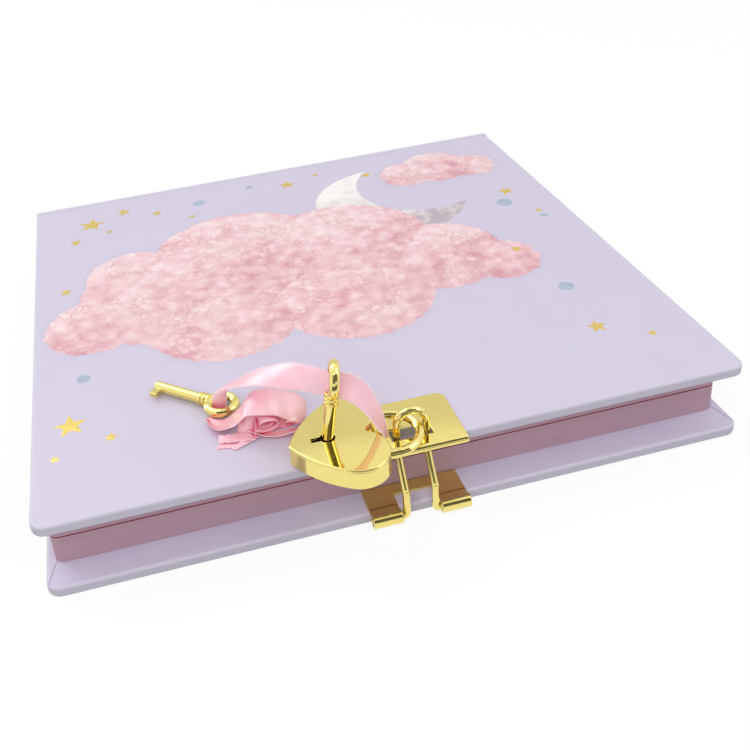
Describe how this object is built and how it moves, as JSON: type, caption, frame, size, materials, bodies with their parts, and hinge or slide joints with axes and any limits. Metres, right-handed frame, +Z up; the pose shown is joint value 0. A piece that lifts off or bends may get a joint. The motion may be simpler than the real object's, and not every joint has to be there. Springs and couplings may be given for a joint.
{
  "type": "diary with lock",
  "caption": "Square hardback diary closed by a gold wire hasp and a heart-shaped padlock, with small keys tied on a pink satin ribbon.",
  "frame": {"origin": "middle of the underside of the closed diary, on the surface it lies on", "axes": "+X along the fore edge with the padlock on the -X side of the hasp, -Y out of the fore edge, +Y to the spine, +Z up out of the front cover"},
  "size_m": [0.18, 0.1828, 0.0492],
  "materials": {
    "cover_paper": "soft-matte laminated cover paper",
    "end_paper": "plain uncoated paper",
    "grey_board": "raw grey board",
    "pages": "leaves with pink edges",
    "lining": "woven book cloth",
    "gold": "polished pale gold plate",
    "steel": "plain",
    "ribbon": "satin with picot edges"
  },
  "bodies": {
    "book_base": {"back_board": "grey_board", "back_cover_wrap": "cover_paper", "back_pastedown": "end_paper", "spine_board": "grey_board", "spine_wrap": "cover_paper", "lower_page_half": "pages", "spine_lining": "lining", "lower_clasp_plate": "gold", "hasp_pivot_ends": "gold"},
    "front_cover": {"front_board": "grey_board", "front_cover_wrap": "cover_paper", "front_pastedown": "end_paper", "upper_clasp_plate": "gold", "hasp_loop": "gold"},
    "flyleaf": {"front_flyleaf": "end_paper"},
    "upper_pages": {"upper_page_half": "pages"},
    "padlock": {"padlock_case": "gold", "padlock_face": "gold", "shackle": "gold", "latch_spring": "steel", "ribbon_band": "ribbon", "ribbon_bunch": "ribbon", "ribbon_tails": "ribbon"},
    "key": {"lock_key": "gold"},
    "latch": {"latch_bolt": "steel"},
    "loose_key": {"spare_key": "gold"}
  },
  "joints": [
    {"name": "front_cover_hinge", "type": "hinge", "parent": "book_base", "child": "front_cover", "pos_m": [0, 0.08275, 0.02205], "axis": [-1, 0, 0], "range_deg": [0, 175]},
    {"name": "flyleaf_turn", "type": "hinge", "parent": "book_base", "child": "flyleaf", "pos_m": [0, 0.08275, 0.02205], "axis": [-1, 0, 0], "range_deg": [0, 167]},
    {"name": "upper_pages_turn", "type": "hinge", "parent": "book_base", "child": "upper_pages", "pos_m": [0, 0.08275, 0.02205], "axis": [-1, 0, 0], "range_deg": [0, 155]},
    {"name": "padlock_swing", "type": "hinge", "parent": "front_cover", "child": "padlock", "pos_m": [-0.0025, -0.0824, 0.0256], "axis": [0, 0, 1], "range_deg": [-25, 12]},
    {"name": "key_turn", "type": "hinge", "parent": "padlock", "child": "key", "pos_m": [-0.01975, -0.084, 0.0279], "axis": [-0.1564, 0, -0.9877], "range_deg": [0, 79], "deforming": ["ribbon_band"]},
    {"name": "latch_turn", "type": "hinge", "parent": "padlock", "child": "latch", "pos_m": [-0.02004, -0.0782, 0.0248], "axis": [0, 0, -1], "range_deg": [0, 6], "deforming": ["latch_spring"]},
    {"name": "spare_key_swivel", "type": "hinge", "parent": "padlock", "child": "loose_key", "pos_m": [-0.0412, -0.057, 0.0239], "axis": [0, 0, 1], "range_deg": [-40, 40]}
  ],
  "couplings": [
    {"joint": "flyleaf_turn", "follows": "front_cover_hinge", "ratio": 0.95},
    {"joint": "upper_pages_turn", "follows": "front_cover_hinge", "ratio": 0.88},
    {"joint": "latch_turn", "follows": "key_turn", "ratio": 0.075942}
  ]
}
